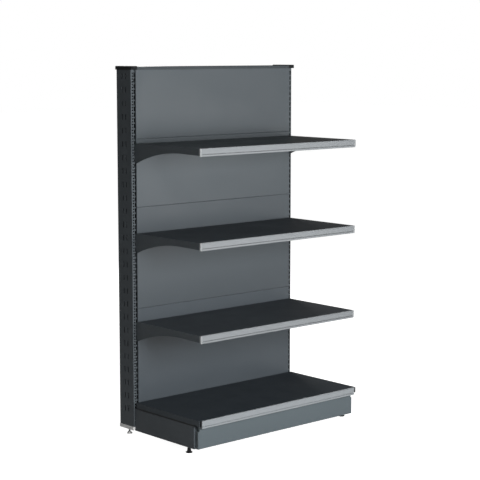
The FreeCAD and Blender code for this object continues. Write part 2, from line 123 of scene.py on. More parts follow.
# shared effects: each is built once and placed in the materials with its own values
def makePowderGrain():
    tree, given, made = newGroup(
        "powderGrain",
        [("Paint", "Color", (0.1, 0.1, 0.1, 1)), ("Peel Scale", "Float", 700.0),
         ("Mottle", "Float", 0.08), ("Roughness", "Float", 0.5)],
        [("Color", "Color"), ("Roughness", "Float"), ("Height", "Float")])
    place = addNode(tree, "TexCoord").outputs["Object"]
    peel = noiseNode(tree, place, given.outputs["Peel Scale"], detail=3.0, roughness=0.55)  # orange peel
    cloud = noiseNode(tree, place, scale=5.0, detail=4.0, roughness=0.6)  # coat thickness drifting
    fleck = noiseNode(tree, place, scale=2600.0, detail=1.0)
    drift = mathNode(tree, "MULTIPLY", mathNode(tree, "SUBTRACT", cloud, 0.5), given.outputs["Mottle"])
    sparkle = mathNode(tree, "MULTIPLY", mathNode(tree, "SUBTRACT", fleck, 0.5), given.outputs["Mottle"])
    change = mathNode(tree, "MULTIPLY", mathNode(tree, "ADD", drift, sparkle), 2.0)
    tone = mathNode(tree, "ADD", change, 1.0)
    tree.links.new(tintNode(tree, given.outputs["Paint"], tone), made.inputs["Color"])
    sheen = rangeNode(tree, cloud, reads=(0.3, 0.7), gives=(-0.05, 0.05))
    tree.links.new(mathNode(tree, "ADD", given.outputs["Roughness"], sheen), made.inputs["Roughness"])
    tree.links.new(peel, made.inputs["Height"])
    return tree


# painted highlight: a lighter tint along the edges, found from the bevel normal and broken up by noise
def makeEdgeHighlight():
    tree, given, made = newGroup(
        "edgeHighlight", [("Width", "Float", 0.001), ("Break Up", "Float", 60.0)], [("Mask", "Float")])
    place = addNode(tree, "TexCoord").outputs["Object"]
    rounded = addNode(tree, "Bevel", {"samples": 4})
    tree.links.new(given.outputs["Width"], rounded.inputs["Radius"])
    across = addNode(tree, "VectorMath", {"operation": "DOT_PRODUCT"})
    tree.links.new(rounded.outputs["Normal"], across.inputs[0])
    tree.links.new(addNode(tree, "NewGeometry").outputs["Normal"], across.inputs[1])
    edge = rangeNode(tree, across.outputs["Value"], reads=(0.99, 0.8), gives=(0.0, 1.0))
    breakNoise = noiseNode(tree, place, given.outputs["Break Up"], detail=4.0, roughness=0.6)
    patchy = rangeNode(tree, breakNoise, reads=(0.35, 0.65), gives=(0.25, 1.0))
    tree.links.new(mathNode(tree, "MULTIPLY", edge, patchy), made.inputs["Mask"])
    return tree


# real dust on upward faces; with full cover and a dark tint it paints shade on the shelf and deck tops
def makeTopDustAndShade():
    tree, given, made = newGroup(
        "topDustAndShade", [("Cover", "Float", 0.1), ("Thinnest", "Float", 0.2)], [("Mask", "Float")])
    place = addNode(tree, "TexCoord").outputs["Object"]
    facing = addNode(tree, "SeparateXYZ")
    tree.links.new(addNode(tree, "NewGeometry").outputs["Normal"], facing.inputs[0])
    upward = rangeNode(tree, facing.outputs["Z"], reads=(0.7, 0.98), gives=(0.0, 1.0))
    cloud = noiseNode(tree, place, scale=9.0, detail=6.0, roughness=0.65)
    drift = rangeNode(tree, cloud, reads=(0.3, 0.75), gives=(given.outputs["Thinnest"], 1.0))
    cover = mathNode(tree, "MULTIPLY", upward, given.outputs["Cover"])
    tree.links.new(mathNode(tree, "MULTIPLY", cover, drift), made.inputs["Mask"])
    return tree


def makeCreviceShade():
    tree, given, made = newGroup("creviceShade", [("Reach", "Float", 0.02)], [("Tone", "Float")])
    hollow = addNode(tree, "AmbientOcclusion", {"samples": 6})
    tree.links.new(given.outputs["Reach"], hollow.inputs["Distance"])
    tone = rangeNode(tree, hollow.outputs["AO"], reads=(0.15, 0.6), gives=(0.15, 1.0))
    tree.links.new(tone, made.inputs["Tone"])
    return tree


def makeMouldedGrain():
    tree, given, made = newGroup(
        "mouldedGrain",
        [("Plastic", "Color", (0.1, 0.1, 0.1, 1)), ("Grain Scale", "Float", 1500.0),
         ("Spread", "Float", 0.1), ("Roughness", "Float", 0.5)],
        [("Color", "Color"), ("Roughness", "Float"), ("Height", "Float")])
    place = addNode(tree, "TexCoord").outputs["Object"]
    pebble = addNode(tree, "TexVoronoi", {"feature": "SMOOTH_F1"})
    tree.links.new(place, pebble.inputs["Vector"])
    tree.links.new(given.outputs["Grain Scale"], pebble.inputs["Scale"])
    flow = noiseNode(tree, place, scale=25.0, detail=3.0, roughness=0.55)  # the melt's slow streaks
    change = mathNode(tree, "MULTIPLY", mathNode(tree, "SUBTRACT", flow, 0.5), given.outputs["Spread"])
    tone = mathNode(tree, "ADD", mathNode(tree, "MULTIPLY", change, 2.0), 1.0)
    tree.links.new(tintNode(tree, given.outputs["Plastic"], tone), made.inputs["Color"])
    tree.links.new(mathNode(tree, "ADD", given.outputs["Roughness"], change), made.inputs["Roughness"])
    tree.links.new(pebble.outputs["Distance"], made.inputs["Height"])
    return tree


def makeDrawnLines():
    tree, given, made = newGroup(
        "drawnLines",
        [("Fineness", "Float", 900.0), ("Along", "Float", 1.5)],
        [("Tone", "Float"), ("Height", "Float")])
    place = addNode(tree, "TexCoord").outputs["Object"]
    stretch = addNode(tree, "CombineXYZ")  # long in X, fine across: the rail leaves its die along X
    tree.links.new(given.outputs["Along"], stretch.inputs["X"])
    tree.links.new(given.outputs["Fineness"], stretch.inputs["Y"])
    tree.links.new(given.outputs["Fineness"], stretch.inputs["Z"])
    scaled = addNode(tree, "VectorMath", {"operation": "MULTIPLY"})
    tree.links.new(place, scaled.inputs[0])
    tree.links.new(stretch.outputs[0], scaled.inputs[1])
    streak = noiseNode(tree, scaled.outputs[0], scale=1.0, detail=3.0, roughness=0.6)
    tone = rangeNode(tree, streak, reads=(0.3, 0.7), gives=(0.95, 1.05))
    tree.links.new(tone, made.inputs["Tone"])
    tree.links.new(streak, made.inputs["Height"])
    return tree


def makeZincBloom():
    tree, given, made = newGroup(
        "zincBloom",
        [("Zinc", "Color", (0.5, 0.5, 0.5, 1)), ("Spangle Scale", "Float", 350.0),
         ("Contrast", "Float", 0.2), ("Roughness", "Float", 0.4)],
        [("Color", "Color"), ("Roughness", "Float"), ("Height", "Float")])
    place = addNode(tree, "TexCoord").outputs["Object"]
    spangle = addNode(tree, "TexVoronoi")
    tree.links.new(place, spangle.inputs["Vector"])
    tree.links.new(given.outputs["Spangle Scale"], spangle.inputs["Scale"])
    crystal = addNode(tree, "SeparateColor")
    tree.links.new(spangle.outputs["Color"], crystal.inputs[0])
    haze = noiseNode(tree, place, scale=60.0, detail=4.0, roughness=0.6)
    both = mathNode(tree, "MULTIPLY", mathNode(tree, "ADD", crystal.outputs[0], haze), 0.5)
    change = mathNode(tree, "MULTIPLY", mathNode(tree, "SUBTRACT", both, 0.5), given.outputs["Contrast"])
    tone = mathNode(tree, "ADD", mathNode(tree, "MULTIPLY", change, 2.0), 1.0)
    tree.links.new(tintNode(tree, given.outputs["Zinc"], tone), made.inputs["Color"])
    tree.links.new(mathNode(tree, "SUBTRACT", given.outputs["Roughness"], change), made.inputs["Roughness"])
    tree.links.new(haze, made.inputs["Height"])
    return tree


# painted shade: faces inside the upright tubes get a darker tone
def makeTubeInsideShade():
    tree, given, made = newGroup(
        "tubeInsideShade",
        [("Near", "Float", 0.1), ("Far", "Float", 0.2), ("Front", "Float", 0.1), ("Back", "Float", 0.2),
         ("Dark", "Float", 0.12)],
        [("Tone", "Float")])
    place = addNode(tree, "SeparateXYZ")
    tree.links.new(addNode(tree, "TexCoord").outputs["Object"], place.inputs[0])
    across = mathNode(tree, "ABSOLUTE", place.outputs["X"], 0.0)  # the same for the left and right tube
    past = mathNode(tree, "GREATER_THAN", across, given.outputs["Near"])
    short = mathNode(tree, "LESS_THAN", across, given.outputs["Far"])
    behind = mathNode(tree, "GREATER_THAN", place.outputs["Y"], given.outputs["Front"])
    before = mathNode(tree, "LESS_THAN", place.outputs["Y"], given.outputs["Back"])
    wide = mathNode(tree, "MULTIPLY", past, short)
    deep = mathNode(tree, "MULTIPLY", behind, before)
    inside = mathNode(tree, "MULTIPLY", wide, deep)
    tone = rangeNode(tree, inside, reads=(0.0, 1.0), gives=(1.0, given.outputs["Dark"]))
    tree.links.new(tone, made.inputs["Tone"])
    return tree


# painted shade: a band of heights is darkened for the shadowed gap between deck and leg
def makeSeamShade():
    tree, given, made = newGroup(
        "seamShade",
        [("Low", "Float", 0.0), ("High", "Float", 0.1), ("Dark", "Float", 0.2)],
        [("Tone", "Float")])
    place = addNode(tree, "SeparateXYZ")
    tree.links.new(addNode(tree, "TexCoord").outputs["Object"], place.inputs[0])
    above = mathNode(tree, "GREATER_THAN", place.outputs["Z"], given.outputs["Low"])
    below = mathNode(tree, "LESS_THAN", place.outputs["Z"], given.outputs["High"])
    between = mathNode(tree, "MULTIPLY", above, below)
    tone = rangeNode(tree, between, reads=(0.0, 1.0), gives=(1.0, given.outputs["Dark"]))
    tree.links.new(tone, made.inputs["Tone"])
    return tree


powderGrain = makePowderGrain()
edgeHighlight = makeEdgeHighlight()
topDustAndShade = makeTopDustAndShade()
creviceShade = makeCreviceShade()
mouldedGrain = makeMouldedGrain()
drawnLines = makeDrawnLines()
zincBloom = makeZincBloom()
tubeInsideShade = makeTubeInsideShade()
seamShade = makeSeamShade()
print("shared effects ready")


def startMaterial(name):
    material = bpy.data.materials.new(name)
    material.use_nodes = True
    tree = material.node_tree
    tree.nodes.clear()
    shader = addNode(tree, "BsdfPrincipled")
    output = addNode(tree, "OutputMaterial")
    tree.links.new(shader.outputs[0], output.inputs["Surface"])
    return material, tree, shader


def bumpFrom(tree, shader, height, strength, distance):
    bump = addNode(tree, "Bump", values={"Strength": strength, "Distance": distance})
    tree.links.new(height, bump.inputs["Height"])
    tree.links.new(bump.outputs["Normal"], shader.inputs["Normal"])


dustColour = (0.30, 0.29, 0.27, 1)
tubeLimits = {"Near": 0.461, "Far": 0.487, "Front": 0.178, "Back": 0.280}  # half a wall inside the tubes


def powderPaint(finish):
    material, tree, shader = startMaterial(finish["name"])
    coat = placeGroup(tree, powderGrain, {
        "Paint": (*finish["paint"], 1), "Peel Scale": finish["peelScale"], "Mottle": finish["mottle"],
        "Roughness": finish["roughness"]})
    edgeGlint = placeGroup(tree, edgeHighlight, {"Width": finish["edgeWidth"], "Break Up": finish["breakUp"]})
    dustAndShade = placeGroup(tree, topDustAndShade, {"Cover": finish["dustAndShade"], "Thinnest": finish["thinnest"]})
    crevice = placeGroup(tree, creviceShade, {"Reach": finish["creviceReach"]})
    hollow = placeGroup(tree, tubeInsideShade, tubeLimits)  # painted shade: the colour inside the tubes is darkened
    tone = mathNode(tree, "MULTIPLY", crevice.outputs["Tone"], hollow.outputs["Tone"])
    if "seam" in finish:  # heights of the rib under the deck, darkened as painted shade for the gap there
        seam = placeGroup(tree, seamShade, {"Low": finish["seam"][0], "High": finish["seam"][1]})
        tone = mathNode(tree, "MULTIPLY", tone, seam.outputs["Tone"])
    shaded = tintNode(tree, coat.outputs["Color"], tone)
    # painted highlight: the lighter edge tint is mixed in along the edges
    share = mathNode(tree, "MULTIPLY", edgeGlint.outputs["Mask"], finish["edgeShare"])
    glinted = mixColours(tree, share, shaded, (*finish["edgeTint"], 1))
    # real dust on upward faces, and painted shade on the shelf and deck tops
    topped = mixColours(tree, dustAndShade.outputs["Mask"], glinted, finish["topTint"])
    tree.links.new(topped, shader.inputs["Base Color"])
    tree.links.new(coat.outputs["Roughness"], shader.inputs["Roughness"])
    shader.inputs["Specular IOR Level"].default_value = finish["specular"]
    bumpFrom(tree, shader, coat.outputs["Height"], finish["peelStrength"], finish["peelDepth"])
    return material


# one anthracite powder coat, satin on the wide panels and matt elsewhere; the shelf, deck, cover and lower
# panel copies are darker as painted shade, the kick plate copy lighter as painted light
uprightFinish = {
    "name": "uprightPaint", "paint": (0.066, 0.077, 0.085), "roughness": 0.52, "specular": 0.35,
    "peelScale": 650.0, "peelStrength": 0.25, "peelDepth": 0.0004, "mottle": 0.05,
    "edgeWidth": 0.0012, "edgeShare": 0.35, "edgeTint": (0.24, 0.25, 0.26), "breakUp": 45.0,
    "creviceReach": 0.008, "topTint": dustColour, "dustAndShade": 0.03, "thinnest": 0.2,
}
panelFinish = {
    "name": "panelPaint", "paint": (0.060, 0.071, 0.079), "roughness": 0.35, "specular": 0.5,
    "peelScale": 480.0, "peelStrength": 0.22, "peelDepth": 0.0004, "mottle": 0.06,
    "edgeWidth": 0.0016, "edgeShare": 0.4, "edgeTint": (0.26, 0.27, 0.28), "breakUp": 45.0,
    "creviceReach": 0.010, "topTint": dustColour, "dustAndShade": 0.03, "thinnest": 0.2,
}
# painted shade: the shelves take a darker copy of the paint, as their tops and sides get little light
shadedShelfFinish = {
    "name": "shadedShelfPaint", "paint": (0.054, 0.063, 0.070), "roughness": 0.55, "specular": 0.24,
    "peelScale": 600.0, "peelStrength": 0.25, "peelDepth": 0.0004, "mottle": 0.06,
    "edgeWidth": 0.0014, "edgeShare": 0.4, "edgeTint": (0.24, 0.25, 0.26), "breakUp": 45.0,
    "creviceReach": 0.010,
    "topTint": (0.035, 0.041, 0.047, 1), "dustAndShade": 1.0, "thinnest": 0.85,  # painted shade: the tops are tinted darker, as little light falls on them from above
}
legFinish = {**uprightFinish, "name": "legPaint", "paint": (0.061, 0.071, 0.079), "seam": (0.1247, 0.1330)}
# painted shade: the middle and bottom panels take darker copies of the panel paint, for the dimmer lower
# bays
shadedMiddlePanelFinish = {**panelFinish, "name": "shadedMiddlePanelPaint", "paint": (0.055, 0.065, 0.073)}
shadedBottomPanelFinish = {**panelFinish, "name": "shadedBottomPanelPaint", "paint": (0.053, 0.063, 0.072)}
# painted shade: the top cover takes a darker copy of the panel paint, for its grazing top
shadedCoverFinish = {**panelFinish, "name": "shadedCoverPaint", "paint": (0.040, 0.047, 0.052), "specular": 0.25}
# painted light: the kick plate takes a lighter copy of the panel paint, as it stands in full light at the
# front
litKickFinish = {**panelFinish, "name": "litKickPaint", "paint": (0.068, 0.085, 0.094)}
# painted shade: the upper shelf and the deck get their own darker top tints
shadedUpperShelfFinish = {
    **shadedShelfFinish, "name": "shadedUpperShelfPaint", "roughness": 0.44, "specular": 0.32,
    "topTint": (0.042, 0.049, 0.054, 1),
}
shadedDeckFinish = {
    **shadedShelfFinish, "name": "shadedDeckPaint", "roughness": 0.6, "specular": 0.14,
    "topTint": (0.026, 0.032, 0.038, 1),
}


def railPlastic(finish):
    material, tree, shader = startMaterial(finish["name"])
    body = placeGroup(tree, mouldedGrain, {
        "Plastic": (*finish["plastic"], 1), "Grain Scale": finish["grainScale"], "Spread": finish["spread"],
        "Roughness": finish["roughness"]})
    lines = placeGroup(tree, drawnLines, {"Fineness": finish["fineness"], "Along": finish["along"]})
    crevice = placeGroup(tree, creviceShade, {"Reach": finish["creviceReach"]})
    tone = mathNode(tree, "MULTIPLY", lines.outputs["Tone"], crevice.outputs["Tone"])
    drawn = tintNode(tree, body.outputs["Color"], tone)
    edgeGlint = placeGroup(tree, edgeHighlight, {"Width": finish["edgeWidth"], "Break Up": finish["breakUp"]})
    # painted highlight: the lighter edge tint is mixed in along the edges
    share = mathNode(tree, "MULTIPLY", edgeGlint.outputs["Mask"], finish["edgeShare"])
    tree.links.new(mixColours(tree, share, drawn, (*finish["edgeTint"], 1)), shader.inputs["Base Color"])
    tree.links.new(body.outputs["Roughness"], shader.inputs["Roughness"])
    shader.inputs["Specular IOR Level"].default_value = finish["specular"]
    bumpFrom(tree, shader, lines.outputs["Height"], finish["lineStrength"], finish["lineDepth"])
    return material


railFinish = {
    "name": "railPlastic", "plastic": (0.162, 0.173, 0.181), "roughness": 0.42, "specular": 0.45,
    "grainScale": 2200.0, "spread": 0.05, "fineness": 700.0, "along": 1.2,
    "lineStrength": 0.15, "lineDepth": 0.0002, "edgeWidth": 0.0008, "edgeShare": 0.4,
    "edgeTint": (0.32, 0.33, 0.34), "breakUp": 80.0, "creviceReach": 0.005,
}
baseRailFinish = {
    **railFinish, "name": "baseRailPlastic", "plastic": (0.195, 0.210, 0.221), "creviceReach": 0.001,
}
railCapFinish = {
    **railFinish, "name": "railCapPlastic", "plastic": (0.205, 0.214, 0.220), "roughness": 0.48,
    "spread": 0.06, "fineness": 300.0, "edgeShare": 0.3, "edgeTint": (0.34, 0.35, 0.36),
    "creviceReach": 0.001,
}


def mouldedPlastic(finish):
    material, tree, shader = startMaterial(finish["name"])
    body = placeGroup(tree, mouldedGrain, {
        "Plastic": (*finish["plastic"], 1), "Grain Scale": finish["grainScale"], "Spread": finish["spread"],
        "Roughness": finish["roughness"]})
    edgeGlint = placeGroup(tree, edgeHighlight, {"Width": finish["edgeWidth"], "Break Up": finish["breakUp"]})
    dustAndShade = placeGroup(tree, topDustAndShade, {"Cover": finish["dustAndShade"], "Thinnest": finish["thinnest"]})
    # painted highlight: the lighter edge tint is mixed in along the edges
    share = mathNode(tree, "MULTIPLY", edgeGlint.outputs["Mask"], finish["edgeShare"])
    glinted = mixColours(tree, share, body.outputs["Color"], (*finish["edgeTint"], 1))
    tree.links.new(mixColours(tree, dustAndShade.outputs["Mask"], glinted, dustColour), shader.inputs["Base Color"])
    tree.links.new(body.outputs["Roughness"], shader.inputs["Roughness"])
    shader.inputs["Specular IOR Level"].default_value = finish["specular"]
    bumpFrom(tree, shader, body.outputs["Height"], finish["grainStrength"], finish["grainDepth"])
    return material


capFinish = {
    "name": "capPlastic", "plastic": (0.008, 0.009, 0.010), "roughness": 0.55, "specular": 0.4,
    "grainScale": 1400.0, "grainStrength": 0.3, "grainDepth": 0.0003, "spread": 0.12,
    "edgeWidth": 0.0012, "edgeShare": 0.1, "edgeTint": (0.05, 0.05, 0.05), "breakUp": 90.0,
    "dustAndShade": 0.04, "thinnest": 0.2,
}
frontFootFinish = {
    **capFinish, "name": "frontFootPlastic", "plastic": (0.014, 0.014, 0.015), "roughness": 0.5,
    "grainScale": 1200.0, "edgeShare": 0.4, "edgeTint": (0.09, 0.09, 0.09),
}
rearFootFinish = {
    **capFinish, "name": "rearFootPlastic", "plastic": (0.80, 0.80, 0.79), "roughness": 0.5,
    "grainScale": 1200.0, "edgeShare": 0.3, "edgeTint": (0.88, 0.88, 0.86),
}
shoeFinish = {
    **capFinish, "name": "shoePlastic", "plastic": (0.74, 0.74, 0.73), "roughness": 0.5,
    "grainScale": 900.0, "edgeShare": 0.3, "edgeTint": (0.84, 0.84, 0.83),
}


def zincPlate(finish):
    material, tree, shader = startMaterial(finish["name"])
    skin = placeGroup(tree, zincBloom, {
        "Zinc": (*finish["zinc"], 1), "Spangle Scale": finish["spangle"], "Contrast": finish["contrast"],
        "Roughness": finish["roughness"]})
    edgeGlint = placeGroup(tree, edgeHighlight, {"Width": finish["edgeWidth"], "Break Up": finish["breakUp"]})
    # painted highlight: the lighter edge tint is mixed in along the edges
    share = mathNode(tree, "MULTIPLY", edgeGlint.outputs["Mask"], finish["edgeShare"])
    glinted = mixColours(tree, share, skin.outputs["Color"], (*finish["edgeTint"], 1))
    tree.links.new(glinted, shader.inputs["Base Color"])
    tree.links.new(skin.outputs["Roughness"], shader.inputs["Roughness"])
    shader.inputs["Metallic"].default_value = finish["metallic"]
    bumpFrom(tree, shader, skin.outputs["Height"], finish["bloomStrength"], finish["bloomDepth"])
    return material


fastenerFinish = {
    "name": "fastenerZinc", "zinc": (0.60, 0.605, 0.61), "roughness": 0.36, "metallic": 0.9,
    "spangle": 500.0, "contrast": 0.2, "bloomStrength": 0.15, "bloomDepth": 0.0003,
    "edgeWidth": 0.0006, "edgeShare": 0.5, "edgeTint": (0.78, 0.79, 0.80), "breakUp": 120.0,
}

uprightPaint = powderPaint(uprightFinish)
legPaint = powderPaint(legFinish)
panelPaint = powderPaint(panelFinish)
shadedMiddlePanelPaint = powderPaint(shadedMiddlePanelFinish)
shadedBottomPanelPaint = powderPaint(shadedBottomPanelFinish)
shadedCoverPaint = powderPaint(shadedCoverFinish)
litKickPaint = powderPaint(litKickFinish)
shadedShelfPaint = powderPaint(shadedShelfFinish)
shadedUpperShelfPaint = powderPaint(shadedUpperShelfFinish)
shadedDeckPaint = powderPaint(shadedDeckFinish)
railSkin = railPlastic(railFinish)
baseRailSkin = railPlastic(baseRailFinish)
railCapSkin = railPlastic(railCapFinish)
capSkin = mouldedPlastic(capFinish)
frontFootSkin = mouldedPlastic(frontFootFinish)
rearFootSkin = mouldedPlastic(rearFootFinish)
shoeSkin = mouldedPlastic(shoeFinish)
fastenerSkin = zincPlate(fastenerFinish)
print("materials ready")


def dress(material, *names):
    for name in names:
        nodes[name].data.materials.clear()
        nodes[name].data.materials.append(material)


dress(uprightPaint, "left_upright", "right_upright", "tie_bar_top", "tie_bar_middle", "tie_bar_bottom")
dress(legPaint, "left_base_leg", "right_base_leg")
dress(panelPaint, "back_panel_top", "back_panel_upper")
dress(shadedCoverPaint, "top_cover")
dress(shadedMiddlePanelPaint, "back_panel_middle")
dress(shadedBottomPanelPaint, "back_panel_bottom")
dress(litKickPaint, "kick_plate")
dress(shadedDeckPaint, "base_deck", "base_deck_stiffener")
boardPaints = {"lower": shadedShelfPaint, "middle": shadedShelfPaint, "upper": shadedUpperShelfPaint}
for level in levels:
    dress(boardPaints[level], f"shelf_{level}_board", f"shelf_{level}_stiffener")
    dress(uprightPaint, f"shelf_{level}_left_bracket", f"shelf_{level}_right_bracket")
dress(capSkin, "left_end_cap", "right_end_cap", "base_rail_end_caps")
dress(shoeSkin, "left_upright_shoe", "right_upright_shoe")
dress(fastenerSkin, "tie_bar_nuts", "top_cover_clips", "kick_plate_clips")
print("nodes dressed")


# pads, threads, hexagons and rails, re-made finer than their solids
sharpAngle = math.radians(32)  # between two faces, for a hard edge


def addRing(bm, points):
    return [bm.verts.new(point) for point in points]


def bridgeRings(bm, rings):
    for lower, upper in zip(rings, rings[1:]):
        for i in range(len(lower)):
            j = (i + 1) % len(lower)
            bm.faces.new((lower[i], lower[j], upper[j], upper[i]))


def finishPiece(bm, name, material, body, replaced):
    bmesh.ops.recalc_face_normals(bm, faces=bm.faces)
    mesh = bpy.data.meshes.new(name)
    bm.to_mesh(mesh)
    bm.free()
    mesh.shade_smooth()
    mesh.set_sharp_from_angle(angle=sharpAngle)
    mesh.materials.append(material)
    piece = bpy.data.objects.new(name, mesh)
    scene.collection.objects.link(piece)
    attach(piece, body)
    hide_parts(replaced)


def upright(x, y, z):  # own axes of a piece that stands along Z
    return lambda u, v, w: (x + u, y + v, z + w)


def sideways(x, y, z, way):  # own axes of a piece that points along X, way is 1 or -1
    return lambda u, v, w: (x + way * w, y + u, z + v)


def middleOf(name):
    low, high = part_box(name)
    return (low[0] + high[0]) / 2, (low[1] + high[1]) / 2, low, high


padShape = {
    "sides": 96, "rim": 0.0035, "bevel": 0.0012, "collarShare": 0.75, "flareRings": 9, "sole": 0.0007,
    "soleShares": (0.50, 0.62, 0.66, 0.92), "bore": 0.0041, "boreDepth": 0.007,
    "flutes": 24, "fluteDepth": 0.0006,
    "neckShares": {"front": 0.53, "rear": 0.65},
}


def padProfile(radius, height, neckShare):
    neck = radius * neckShare
    collar = height * padShape["collarShare"]
    a, b, c, d = (radius * share for share in padShape["soleShares"])
    rows = [(a, padShape["sole"], 0), (b, padShape["sole"], 0), (c, 0, 0), (d, 0, 0)]
    rows += [(radius, padShape["bevel"], 1), (radius, padShape["rim"], 1)]
    for i in range(1, padShape["flareRings"] + 1):  # a trumpet from the rim up to the collar
        turn = math.pi / 2 * i / padShape["flareRings"]
        reach = neck + (radius - neck) * (1 - math.sin(turn))
        rows.append((reach, padShape["rim"] + (collar - padShape["rim"]) * (1 - math.cos(turn)), 0))
    rows += [(neck, height - padShape["bevel"], 0), (neck - padShape["bevel"], height, 0)]
    rows += [(padShape["bore"], height, 0), (padShape["bore"], height - padShape["boreDepth"], 0)]
    return rows


def makePad(end, side, material):
    x, y, low, high = middleOf(f"{end}_{side}_foot_pad")
    place = upright(x, y, low[2])
    radius = (high[0] - low[0]) / 2
    bm = bmesh.new()
    rings = []
    for reach, height, fluted in padProfile(radius, high[2] - low[2], padShape["neckShares"][end]):
        points = []
        for i in range(padShape["sides"]):
            angle = 2 * math.pi * i / padShape["sides"]
            dip = fluted * padShape["fluteDepth"] * (0.5 - 0.5 * math.cos(padShape["flutes"] * angle))
            points.append(place((reach - dip) * math.cos(angle), (reach - dip) * math.sin(angle), height))
        rings.append(addRing(bm, points))
    bridgeRings(bm, rings)
    bm.faces.new(rings[0])
    bm.faces.new(rings[-1])
    finishPiece(bm, f"{end}_{side}_turned_pad", material, f"{end}_{side}_foot",
                f"{end}_{side}_foot_pad")


threadShape = {"sides": 18, "ringsPerTurn": 6, "pitch": 0.00125, "depth": 0.0006, "lead": 0.0016}


def addThread(bm, place, radius, length):
    count = round(length / threadShape["pitch"] * threadShape["ringsPerTurn"])
    rings = []
    for i in range(count + 1):
        height = length * i / count
        fromEnd = min(height, length - height)
        lead = threadShape["lead"] * max(0.0, 1 - fromEnd / threadShape["lead"]) / 2  # tapers at both ends
        points = []
        for j in range(threadShape["sides"]):
            turn = i / threadShape["ringsPerTurn"] - j / threadShape["sides"]
            groove = threadShape["depth"] * abs(2 * (turn % 1.0) - 1)  # its phase makes the helix
            reach = radius - max(groove, lead)
            angle = 2 * math.pi * j / threadShape["sides"]
            points.append(place(reach * math.cos(angle), reach * math.sin(angle), height))
        rings.append(addRing(bm, points))
    bridgeRings(bm, rings)
    bm.faces.new(rings[0])
    bm.faces.new(rings[-1])


def makeStud(end, side):
    name = f"{end}_{side}_foot_stud"
    x, y, low, high = middleOf(name)
    bm = bmesh.new()
    addThread(bm, upright(x, y, low[2]), (high[0] - low[0]) / 2, high[2] - low[2])
    finishPiece(bm, f"{end}_{side}_threaded_stud", fastenerSkin, f"{end}_{side}_foot",
                name)


hexShape = {"sides": 48, "circleShare": 0.95, "slope": math.tan(math.radians(30)), "boreChamfer": 0.0004}


def addHexagon(bm, place, across, height, bore):
    def corner(angle):  # distance to the six flats
        turn = (angle + math.pi / 6) % (math.pi / 3) - math.pi / 6
        return across / 2 / math.cos(turn)

    circle = across / 2 * hexShape["circleShare"]
    lip = hexShape["boreChamfer"]
    angles = [2 * math.pi * i / hexShape["sides"] for i in range(hexShape["sides"])]
    rows = []
    for low in (True, False):  # the turned chamfer leaves curved lines on the flats
        outer = [(corner(a), (corner(a) - circle) * hexShape["slope"]) for a in angles]
        inner = [(circle, 0.0)] * len(angles)
        pair = [inner, outer] if low else [outer, inner]
        rows += [[(r, h if low else height - h) for r, h in row] for row in pair]
    if bore:
        rows.insert(0, [(bore + lip, 0.0)] * len(angles))
        rows.insert(0, [(bore, lip)] * len(angles))
        rows.append([(bore + lip, height)] * len(angles))
        rows.append([(bore, height - lip)] * len(angles))
    rings = []
    for row in rows:
        points = [place(r * math.cos(a), r * math.sin(a), h) for (r, h), a in zip(row, angles)]
        rings.append(addRing(bm, points))
    if bore:
        rings.append(rings[0])
    else:
        bm.faces.new(rings[0])
        bm.faces.new(rings[-1])
    bridgeRings(bm, rings)


nutShape = {"across": 0.013, "height": 0.006, "bore": 0.00408}


def makeNuts(name, piece, footEnd):
    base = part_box(name)[0][2]
    bm = bmesh.new()
    for side in ("left", "right"):
        x, y = middleOf(f"{footEnd}_{side}_foot_stud")[:2]
        addHexagon(bm, upright(x, y, base), nutShape["across"], nutShape["height"], nutShape["bore"])
    finishPiece(bm, piece, fastenerSkin, "frame", name)


boltShape = {
    "across": 0.010, "headHeight": 0.004, "radius": 0.003, "length": 0.0102, "rowGap": 0.024,
    "plate": 0.003,
}


def makeTieBolts():
    bm = bmesh.new()
    for level in ("top", "middle", "bottom"):
        y, low, high = middleOf(f"tie_bar_{level}")[1:]
        z = (low[2] + high[2]) / 2
        for row in (-0.5, 0.5):
            for seat, way in ((low[0] + boltShape["plate"], 1), (high[0] - boltShape["plate"], -1)):
                rowY = y + row * boltShape["rowGap"]
                head = sideways(seat, rowY, z, way)
                addHexagon(bm, head, boltShape["across"], boltShape["headHeight"], 0.0)
                shank = sideways(seat, rowY, z, -way)
                addThread(bm, shank, boltShape["radius"], boltShape["length"])
    finishPiece(bm, "tie_bar_hexagon_bolts", fastenerSkin, "frame", "tie_bar_bolts")


railShape = {
    "bead": 0.004, "round": 0.0018, "recess": 0.0014, "grooveShare": 0.77, "groove": 0.0028,
    "grooveDepth": 0.005, "lipRound": 0.0008, "arcPoints": 5,
}


def arc(middle, radius, start):  # a quarter turn on, from the start angle in degrees
    points = []
    for i in range(railShape["arcPoints"] + 1):
        turn = math.radians(start + 90 * i / railShape["arcPoints"])
        points.append((middle[0] + radius * math.cos(turn), middle[1] + radius * math.sin(turn)))
    return points


def railProfile(front, back, low, top):  # runs from the back over the top bead down to the nose
    r = railShape["round"]
    face = front + railShape["recess"]
    groove = top - (top - low) * railShape["grooveShare"]
    floor = front + railShape["grooveDepth"]
    lip = railShape["lipRound"]
    beadEnd = top - railShape["bead"]
    points = [(back, top)]
    points += arc((front + r, top - r), r, 90)
    grooveTop = groove + railShape["groove"]
    points += [(front, beadEnd), (face, beadEnd - railShape["recess"]), (face, grooveTop)]
    points += [(floor, grooveTop), (floor, groove)]
    points += arc((front + lip, groove - lip), lip, 90)
    points += arc((front + r, low + r), r, 180)
    points.append((back, low))
    return points


def makeRail(name, piece, material, body):
    low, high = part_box(name)
    profile = railProfile(low[1], high[1], low[2], high[2])
    bm = bmesh.new()
    rings = [addRing(bm, [(x, y, z) for y, z in profile]) for x in (low[0], high[0])]
    bridgeRings(bm, rings)
    bm.faces.new(rings[0])
    bm.faces.new(rings[1])
    finishPiece(bm, piece, material, body, name)


endShape = {"width": 0.010, "topRound": 0.0025, "lowRound": 0.006, "bevel": 0.0008}


